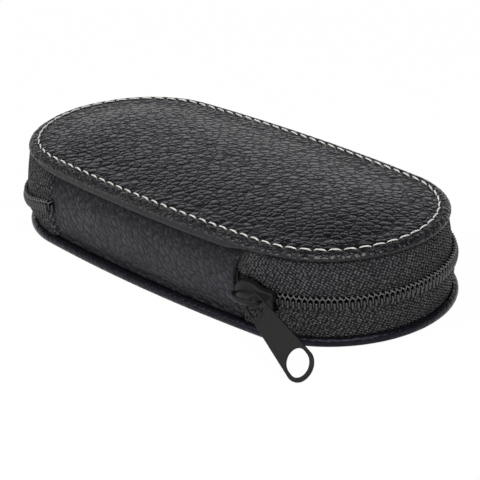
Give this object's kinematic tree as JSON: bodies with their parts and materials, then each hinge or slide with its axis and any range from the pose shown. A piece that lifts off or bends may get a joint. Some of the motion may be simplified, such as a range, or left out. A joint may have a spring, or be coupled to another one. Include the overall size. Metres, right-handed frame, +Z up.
{
  "type": "fountain pen case",
  "caption": "Padded leather zip-around pen case with an oval outline, a leather spine hinge, pale topstitching, a coil zip with a slider and pull tab, and elastic pen loops inside.",
  "frame": {"origin": "middle of the flat bottom, where the closed case stands", "axes": "+X along the case towards the end with the slider, -Y towards the leather spine, +Z up"},
  "size_m": [0.1603, 0.0835, 0.0296],
  "materials": {
    "leather": "pebbled black leather, satin",
    "spine_leather": "finer creased black leather",
    "foam": "soft padding, hidden",
    "board": "stiffener board, hidden",
    "lining": "short black nap",
    "thread": "off-white waxed thread",
    "thread_dark": "black sewing thread",
    "tape": "coarse woven black tape",
    "coil": "black nylon",
    "slider_metal": "black paint, satin",
    "elastic": "ribbed black elastic"
  },
  "bodies": {
    "base": {"base_leather": "leather", "base_foam": "foam", "base_board": "board", "base_lining": "lining", "base_topstitch": "thread", "lower_zip_tape": "tape", "lower_zip_coil": "coil", "zip_tape_end": "tape", "pen_band_left": "elastic", "pen_band_right": "elastic", "pen_band_tacks": "thread_dark"},
    "spine": {"spine_leather": "spine_leather", "spine_lining": "lining"},
    "lid": {"lid_leather": "leather", "lid_foam": "foam", "lid_board": "board", "lid_lining": "lining", "lid_topstitch": "thread", "upper_zip_tape": "tape", "upper_zip_coil": "coil"},
    "slider": {"zip_slider": "slider_metal"},
    "pull": {"pull_tab": "slider_metal"}
  },
  "joints": [
    {"name": "spine_fold", "type": "hinge", "parent": "base", "child": "spine", "pos_m": [0, -0.0339, 0.0038], "axis": [1, 0, 0], "range_deg": [0, 88]},
    {"name": "lid_fold", "type": "hinge", "parent": "spine", "child": "lid", "pos_m": [0, -0.0339, 0.0248], "axis": [1, 0, 0], "range_deg": [0, 88]},
    {"name": "slider_travel", "type": "hinge", "parent": "base", "child": "slider", "pos_m": [0.0451, 0, 0.0137], "axis": [0, 0, 1], "range_deg": [0, 160], "deforming": ["upper_zip_coil", "lower_zip_coil"]},
    {"name": "pull_swing", "type": "hinge", "parent": "slider", "child": "pull", "pos_m": [0.0501, -0.03797, 0.0137], "axis": [-0.3914, -0.5333, -0.7499], "range_deg": [0, 80]}
  ],
  "couplings": [
    {"joint": "lid_fold", "follows": "spine_fold", "ratio": 1}
  ]
}
